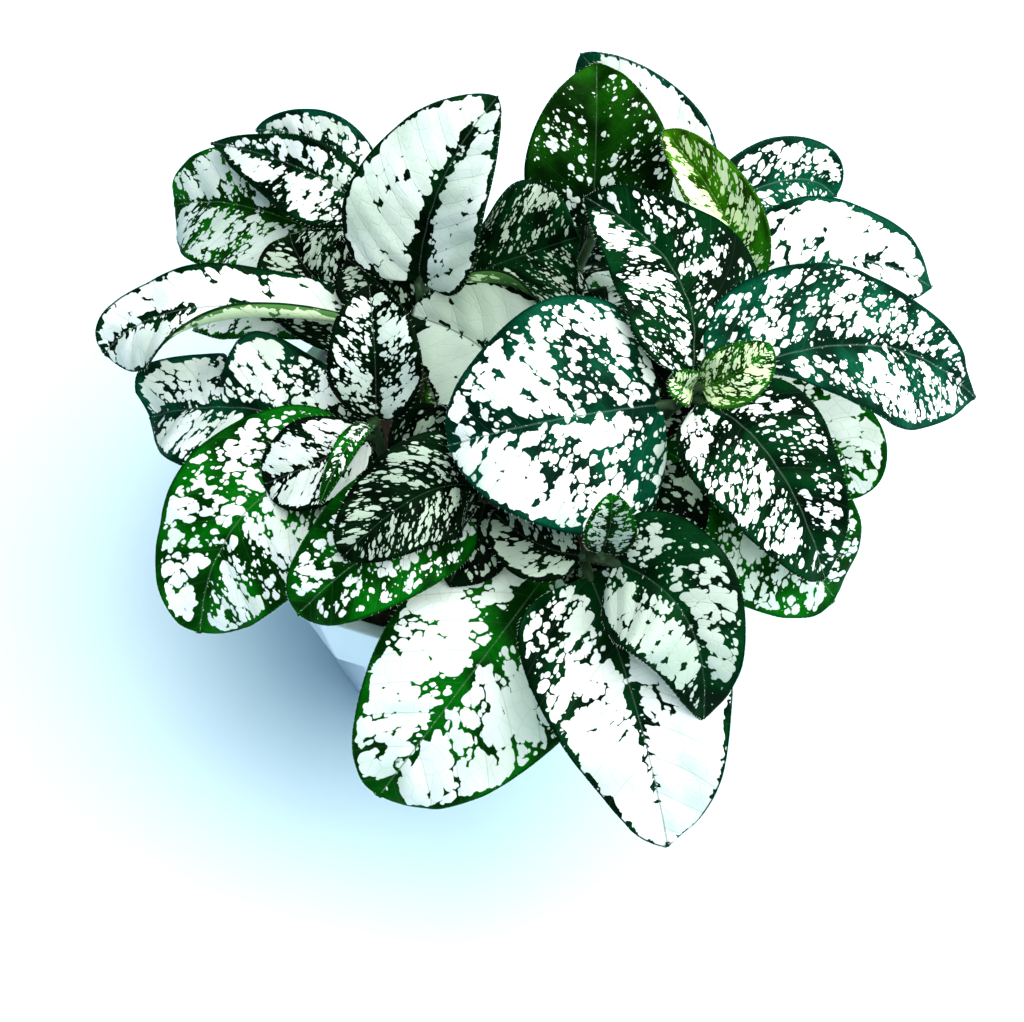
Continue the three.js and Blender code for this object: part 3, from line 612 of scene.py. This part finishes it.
def soil_material():
    material, nodes, surface = new_material("potting mix")
    place = nodes.add("ShaderNodeTexCoord").outputs["Object"]
    lumps = nodes.noise(place, 300, 4, 0.65)
    fibre = nodes.noise(place, 1100, 3, 0.7)
    colour = nodes.mix(lumps, (0.010, 0.007, 0.005, 1), (0.075, 0.050, 0.034, 1))
    colour = nodes.mix(nodes.scaled(fibre, 0.5), colour, (0.12, 0.085, 0.06, 1))
    nodes.set(surface.inputs["Base Color"], colour)
    nodes.set(surface.inputs["Roughness"], nodes.math("MULTIPLY_ADD", fibre, 0.2, 0.75))
    nodes.set(surface.inputs["Normal"], nodes.bump(nodes.sum(lumps, fibre), 0.8 * MM, 0.9))
    return material


# Meshes

def finish_piece(name, bm, materials, node):
    mesh = bpy.data.meshes.new(name)
    bm.to_mesh(mesh)
    bm.free()
    for material in materials:
        mesh.materials.append(material)
    piece = bpy.data.objects.new(name, mesh)
    bpy.context.scene.collection.objects.link(piece)
    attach(piece, "root")
    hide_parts(node)
    return piece


def faces_of(verts):
    return list({face for vert in verts for face in vert.link_faces})


def outer_radius(height):
    body_top = POT_HEIGHT - BAND_HEIGHT
    if height < body_top:
        return BASE_RADIUS + (BODY_TOP_RADIUS - BASE_RADIUS) * height / body_top
    return BAND_FOOT_RADIUS + (RIM_RADIUS - BAND_FOOT_RADIUS) * (height - body_top) / BAND_HEIGHT


def inner_radius(height):
    above_body = height - (POT_HEIGHT - BAND_HEIGHT)
    if above_body < 0 or above_body > LEDGE_TOP:
        return outer_radius(height) - POT_WALL
    narrow = BODY_TOP_RADIUS - POT_WALL
    wide = outer_radius(POT_HEIGHT - BAND_HEIGHT + LEDGE_TOP) - POT_WALL
    share = max(0, (above_body - LEDGE_FOOT) / (LEDGE_TOP - LEDGE_FOOT))
    return narrow + (wide - narrow) * share


def inside_profile(bottom, top, clearance):
    """The inside of the pot from one height up to another, this far off the wall"""
    body_top = POT_HEIGHT - BAND_HEIGHT
    heights = (bottom, body_top, body_top + LEDGE_FOOT, body_top + LEDGE_TOP, top)
    return [(inner_radius(height) - clearance, height) for height in heights]


def spin_profile(bm, profile):
    """A ten-sided turned shape, from a profile of radius and height in millimetres"""
    turn = Matrix.Rotation(-(90 + POT_TURN) * DEGREE, 3, "Z")
    verts = [bm.verts.new(turn @ Vector((radius, 0, height)) * MM) for radius, height in profile]
    edges = [bm.edges.new(pair) for pair in zip(verts, verts[1:])]
    bmesh.ops.spin(
        bm, geom=verts + edges, axis=(0, 0, 1), cent=(0, 0, 0),
        steps=POT_SIDES, angle=2 * math.pi, use_merge=True,
    )
    bmesh.ops.remove_doubles(bm, verts=bm.verts, dist=1e-6)
    bmesh.ops.recalc_face_normals(bm, faces=bm.faces)


def make_pot():
    bm = bmesh.new()
    body_top = POT_HEIGHT - BAND_HEIGHT
    spin_profile(bm, [
        (0, 0), (BASE_RADIUS - FOOT_CHAMFER, 0), (BASE_RADIUS, FOOT_CHAMFER),
        (BODY_TOP_RADIUS, body_top), (BAND_FOOT_RADIUS, body_top + 1), (RIM_RADIUS, POT_HEIGHT),
        *reversed(inside_profile(POT_FLOOR, POT_HEIGHT, 0)), (0, POT_FLOOR),
    ])
    bends = [edge for edge in bm.edges if edge.calc_face_angle(0) > 5 * DEGREE]
    bmesh.ops.bevel(
        bm, geom=bends, offset=FACET_BEVEL * MM, offset_type="OFFSET", segments=3, profile=0.5,
        affect="EDGES", clamp_overlap=True, material=-1,
    )
    for face in bm.faces:
        face.smooth = True
    pot = finish_piece("glazed_pot", bm, [glaze_material()], "pot")
    pot.modifiers.new("flat facets", "WEIGHTED_NORMAL").keep_sharp = True


def make_soil():
    bm = bmesh.new()
    bottom = POT_FLOOR + GAP
    soil_radius = inner_radius(SOIL_TOP)
    spin_profile(bm, [
        (0, bottom), *inside_profile(bottom, SOIL_TOP, GAP),
        (soil_radius * SHOULDER_RADIUS, SOIL_TOP + SOIL_CROWN * SHOULDER_RISE),
        (0, SOIL_TOP + SOIL_CROWN),
    ])
    top = [face for face in bm.faces if face.normal.z > 0.5]
    edges = list({edge for face in top for edge in face.edges})
    bmesh.ops.subdivide_edges(bm, edges=edges, cuts=11, use_grid_fill=True)
    for vert in bm.verts:
        if vert.co.z > (SOIL_TOP - 0.5) * MM:
            radius = vert.co.xy.length / MM
            rough = noise.fractal(vert.co * 260, 0.8, 2.2, 4) + 0.6 * noise.noise(vert.co * 900)
            vert.co.z += rough * SOIL_ROUGHNESS * MM * min(1, (soil_radius - radius) / 3)
    draw = random.Random(5)
    crumbs_reach = soil_radius * math.cos(math.pi / POT_SIDES) - 3
    for _ in range(CRUMBS):
        angle = draw.uniform(0, 2 * math.pi)
        radius = math.sqrt(draw.random()) * crumbs_reach
        size = draw.uniform(*CRUMB_SIZES)
        rise = SOIL_TOP + SOIL_CROWN * (1 - (radius / soil_radius) ** 2)
        spot = Vector((radius * math.cos(angle), radius * math.sin(angle), rise + 0.2 * size)) * MM
        turn = Matrix.Rotation(draw.uniform(0, 3), 4, (draw.random(), draw.random(), draw.random() + 0.1))
        depth, height = size * draw.uniform(0.5, 0.9), size * draw.uniform(0.4, 0.7)
        shape = Matrix.Diagonal((size, depth, height, 1 / MM))
        matrix = Matrix.Translation(spot) @ turn @ (shape * MM)
        bmesh.ops.create_icosphere(bm, subdivisions=1, radius=1, matrix=matrix)
    finish_piece("potting_mix", bm, [soil_material()], "soil")


# Stems and leaves

LAYERS = ("margin_mm", "midrib_mm", "vein_count", "whiteness")


def add_layers(bm):
    layers = {name: bm.verts.layers.float.new(name) for name in LAYERS}
    layers["leaf_place"] = bm.verts.layers.float_vector.new("leaf_place")
    layers["green"] = bm.verts.layers.float_color.new("green")
    layers["white"] = bm.verts.layers.float_color.new("white")
    return layers


def stem_points(root, apex):
    x, y = root
    knee_x = x + (apex[0] - x) * KNEE_OUT
    knee_y = y + (apex[1] - y) * KNEE_OUT
    knee_z = SOIL_TOP + (apex[2] - SOIL_TOP) * KNEE_UP
    return np.array([
        (x, y, ROOT_FOOT),
        (x, y, (ROOT_FOOT + SOIL_TOP) / 2),
        (x, y, SOIL_TOP + SOIL_CROWN + 1),
        (knee_x, knee_y, knee_z),
        apex,
    ], float)


def curve_point(points, place):
    """A point of the centripetal Catmull-Rom curve through the points, with place from 0 to 1"""
    position = place * (len(points) - 1)
    i = min(int(position), len(points) - 2)
    b, c = points[i], points[i + 1]
    a = points[i - 1] if i > 0 else 2 * b - c
    d = points[i + 2] if i + 2 < len(points) else 2 * c - b
    before, between, after = (math.sqrt(np.linalg.norm(q - p)) for p, q in ((a, b), (b, c), (c, d)))
    leave = ((b - a) / before - (c - a) / (before + between) + (c - b) / between) * between
    arrive = ((c - b) / between - (d - b) / (between + after) + (d - c) / after) * between
    w = position - i
    return (
        b + leave * w + (-3 * b + 3 * c - 2 * leave - arrive) * w ** 2
        + (2 * b - 2 * c + leave + arrive) * w ** 3
    )


def unit(vectors):
    return vectors / np.linalg.norm(vectors, axis=-1, keepdims=True)


def tube(bm, centres, sides, ups, radii, around, material):
    """A round tube along a row of points, wrapped from a grid and closed at both ends"""
    count = len(centres)
    made = bmesh.ops.create_grid(bm, x_segments=around, y_segments=count - 1, size=1)["verts"]
    for vert in made:
        ring = round((vert.co.y + 1) / 2 * (count - 1))
        angle = math.pi * vert.co.x
        offset = sides[ring] * math.cos(angle) + ups[ring] * math.sin(angle)
        vert.co = (centres[ring] + radii[ring] * offset) * MM
    faces = faces_of(made)
    bmesh.ops.remove_doubles(bm, verts=made, dist=1e-7)
    edges = [edge for edge in {edge for face in faces for edge in face.edges} if edge.is_boundary]
    caps = bmesh.ops.holes_fill(bm, edges=edges, sides=around)["faces"]
    bmesh.ops.recalc_face_normals(bm, faces=faces + caps)
    for face in faces + caps:
        face.material_index = material
        face.smooth = True


def outline_at(share, widest, sharpness):
    """Share of the blade's full width at a share of its length"""
    rise = sharpness * widest / (1 - widest)
    peak = widest ** rise * (1 - widest) ** sharpness
    return share ** rise * (1 - share) ** sharpness / peak


class Leaf:
    """The midrib and the two directions across it, in millimetres, as in the part's source"""

    def __init__(self, leaf, start):
        self.leaf = leaf
        self.start = start
        self.tip = np.array(leaf[2], float)
        self.bend = 2 * np.array(leaf[1], float) - 0.5 * start - 0.5 * self.tip
        turn, rise = leaf[4][0] * DEGREE, leaf[4][1] * DEGREE
        self.face = np.array((
            math.sin(turn) * math.cos(rise), -math.cos(turn) * math.cos(rise), math.sin(rise),
        ))
        steps = self.along(np.linspace(PETIOLE_SHARE, 1, 60))[0]
        self.length = np.linalg.norm(np.diff(steps, axis=0), axis=1).sum()

    def along(self, place):
        t = np.asarray(place, float)[:, None]
        centre = (1 - t) ** 2 * self.start + 2 * t * (1 - t) * self.bend + t ** 2 * self.tip
        tangent = unit(2 * (1 - t) * (self.bend - self.start) + 2 * t * (self.tip - self.bend))
        side = unit(np.cross(tangent, self.face))
        return centre, side, np.cross(side, tangent)


def blade(bm, layers, leaf, look, seed):
    """A folded, curled and waved blade, quilted between its veins, with what its markings need"""
    whiteness, tip_white, right_white, base_green, tip_green, white, fineness, dark_midrib = look
    fold, curl, wave = leaf.leaf[5:8]
    widths = leaf.leaf[3]
    width = sum(widths)
    small = min(1, width / 30)
    streak = min(1, 3 * max(0, fineness - 1))
    rows = int(min(70, max(20, leaf.length * 1.15)))
    columns = 2 * int(min(24, max(8, width * 0.6)))
    made = bmesh.ops.create_grid(bm, x_segments=columns, y_segments=rows, size=1)["verts"]
    spacing = leaf.length / VEIN_PAIRS
    shares = (1 - np.cos(np.linspace(0, math.pi, rows + 1))) / 2
    centres, sides, ups = leaf.along(PETIOLE_SHARE + shares * (1 - PETIOLE_SHARE))
    points = {}
    for vert in made:
        row = round((vert.co.y + 1) / 2 * rows)
        column = round((vert.co.x + 1) / 2 * columns)
        across = math.copysign(abs(vert.co.x) ** 1.3, vert.co.x)
        share = shares[row]
        half = 0 if across > 0 else 1
        breadth = widths[half] * outline_at(share, leaf.leaf[8][half], leaf.leaf[8][2])
        if half == 0 and len(leaf.leaf) > 9:
            place, depth = leaf.leaf[9]
            breadth *= 1 - depth * math.exp(-((share - place) / NOTCH_LENGTH) ** 2)
        least = 0.3 if share > 0.5 else PETIOLE_RADIUS * 0.8
        reach = max(breadth, least)
        spread = min(1, breadth / (FULL_FOLD_WIDTH * PETIOLE_RADIUS))
        curled = 1 - min(1, share / FLAT_FROM) ** 2
        turn = curl[half] * DEGREE * spread * curled + LEAST_CURL
        start = fold * DEGREE * spread
        end = start + turn * abs(across)
        out = math.copysign(reach * (math.sin(end) - math.sin(start)) / turn, across)
        up = reach * (math.cos(start) - math.cos(end)) / turn
        phase = share * WAVES_PER_LEAF * 2 * math.pi + WAVE_STARTS[half]
        up += wave[half] * spread * across ** 2 * math.sin(phase)

        x = abs(across) * reach
        y = share * leaf.length
        margin = min((1 - abs(across)) * reach, (1 - share) * leaf.length * 0.5 + 0.1)
        vein = (y - 0.62 * x - 0.3 * x * x / (width / 2)) / spacing
        off_vein = abs((vein % 1 + 1.5) % 1 - 0.5) * spacing
        inside = min(1, margin / 3) * small
        up += QUILT_HEIGHT * inside * (1 - math.exp(-(off_vein / 1.5) ** 2))
        up -= MIDRIB_GROOVE * small * min(1, breadth / 4) * math.exp(-(x / 1.5) ** 2)
        slanted = y - 0.35 * x + streak * (1.12 * spacing * vein - y + 0.35 * x)
        flat = Vector(((1 - 0.15 * streak) * across * reach + seed * 53, slanted + seed * 31, 0))
        up += 0.5 * small * noise.noise(flat * 0.13)
        up += 0.35 * small * across ** 4 * noise.noise(Vector((half * 9, y * 0.28, seed * 3)))
        vert.co = (centres[row] + sides[row] * out + ups[row] * up) * MM
        points[row, column] = vert.co.copy()

        vert[layers["margin_mm"]] = margin * max(1, fineness)
        vert[layers["midrib_mm"]] = x * max(1, fineness)
        vert[layers["vein_count"]] = vein
        wedge = dark_midrib * (1 - share) ** 1.5 * math.exp(-(x / MIDRIB_WEDGE) ** 2)
        sides_white = tip_white * (share - 0.5) + right_white * across
        vert[layers["whiteness"]] = whiteness + sides_white - wedge
        vert[layers["leaf_place"]] = flat * fineness
        vert[layers["green"]] = (*Vector(GREENS[base_green]).lerp(GREENS[tip_green], share), 1)
        vert[layers["white"]] = (*WHITES[white], 1)
    top = faces_of(made)
    if sum(face.normal.dot(Vector(leaf.face)) for face in top) < 0:
        bmesh.ops.reverse_faces(bm, faces=top)
    return top, points, rows, columns


def grow_hairs(bm, points, rows, columns, seed):
    """Short hairs along both margins and the midrib, leaning towards the tip"""
    luck = random.Random(seed)
    tuft = bmesh.new()
    for row in range(1, rows):
        middle = columns // 2
        for column, inner, share in ((0, 1, 0.8), (columns, columns - 1, 0.8), (middle, None, 0.4)):
            if luck.random() > share:
                continue
            root = points[row, column]
            onward = (points[row + 1, column] - root).normalized()
            if inner is None:
                out = onward.cross(points[row, column - 1] - points[row, column + 1]).normalized()
                out *= math.copysign(1, out.z)
            else:
                out = (root - points[row, inner]).normalized()
            wild = Vector((luck.uniform(-0.4, 0.4), luck.uniform(-0.4, 0.4), luck.uniform(-0.2, 0.5)))
            way = (out + 0.5 * onward + wild).normalized()
            length = luck.uniform(*HAIR_LENGTHS) * MM
            turn = way.to_track_quat("Z", "Y").to_matrix().to_4x4()
            place = Matrix.Translation(root + way * (length * 0.5 - HAIR_SUNK * MM)) @ turn
            bmesh.ops.create_cone(
                tuft, cap_ends=True, cap_tris=True, segments=3,
                radius1=HAIR_RADIUS * MM, radius2=0.0, depth=length, matrix=place,
            )
    for face in tuft.faces:
        face.material_index = 3
    mesh = bpy.data.meshes.new("hairs")
    tuft.to_mesh(mesh)
    tuft.free()
    bm.from_mesh(mesh)
    bpy.data.meshes.remove(mesh)


def thicken(bm, faces, thickness):
    """Gives the blade an underside and a rim, in the second material"""
    for face in faces:
        face.normal_update()
        face.smooth = True
    before = set(bm.faces)
    bmesh.ops.solidify(bm, geom=faces, thickness=thickness)
    for face in bm.faces:
        if face not in before:
            face.material_index = 1
            face.smooth = True


def make_leafy_stem(name, stem, materials):
    root, apex, leaves = stem
    bm = bmesh.new()
    layers = add_layers(bm)
    points = stem_points(root, apex)
    for number, row in enumerate(leaves):
        start = curve_point(points, LOWEST_LEAF + (1 - LOWEST_LEAF) * row[0])
        leaf = Leaf(row, start)
        seed = len(name) * 7 + number * 1.37 + sum(map(ord, name)) * 0.01
        top, *layout = blade(bm, layers, leaf, LEAF_LOOKS[name][number], seed)
        thicken(bm, top, BLADE_THICKNESS * MM)
        grow_hairs(bm, *layout, seed)
        places = np.linspace(0, RIB_END, RIB_RINGS)
        centres, sides, ups = leaf.along(places)
        on_stalk = places < PETIOLE_SHARE
        radii = np.where(on_stalk, PETIOLE_RADIUS, PETIOLE_RADIUS * 0.7 * (1 - places) + 0.12)
        drop = np.where(on_stalk, 0.3, 0.85 + 0.6 * radii)[:, None]
        tube(bm, centres - ups * drop, sides, ups, radii, 8, 2)
    places = np.linspace(0, 1, STEM_RINGS)
    centres = np.array([curve_point(points, place) for place in places])
    tangents = unit(np.gradient(centres, axis=0))
    sides = unit(np.cross(tangents, (0.0, 1.0, 0.0)))
    radii = STEM_RADIUS * (1 - 0.4 * places ** 2)
    tube(bm, centres, sides, np.cross(sides, tangents), radii, 12, 2)
    finish_piece(f"{name}_leafy_stem", bm, materials, f"leafy_stem_{name}")


make_camera()
light_studio()
make_floor()
make_pot()
make_soil()
markings = leaf_markings_group()
leaf_materials = [
    leaf_material("leaf upper face", markings, True),
    leaf_material("leaf underside", markings, False),
    stalk_material(),
    hair_material(),
]
for stem_name, leafy_stem in LEAFY_STEMS.items():
    make_leafy_stem(stem_name, leafy_stem, leaf_materials)
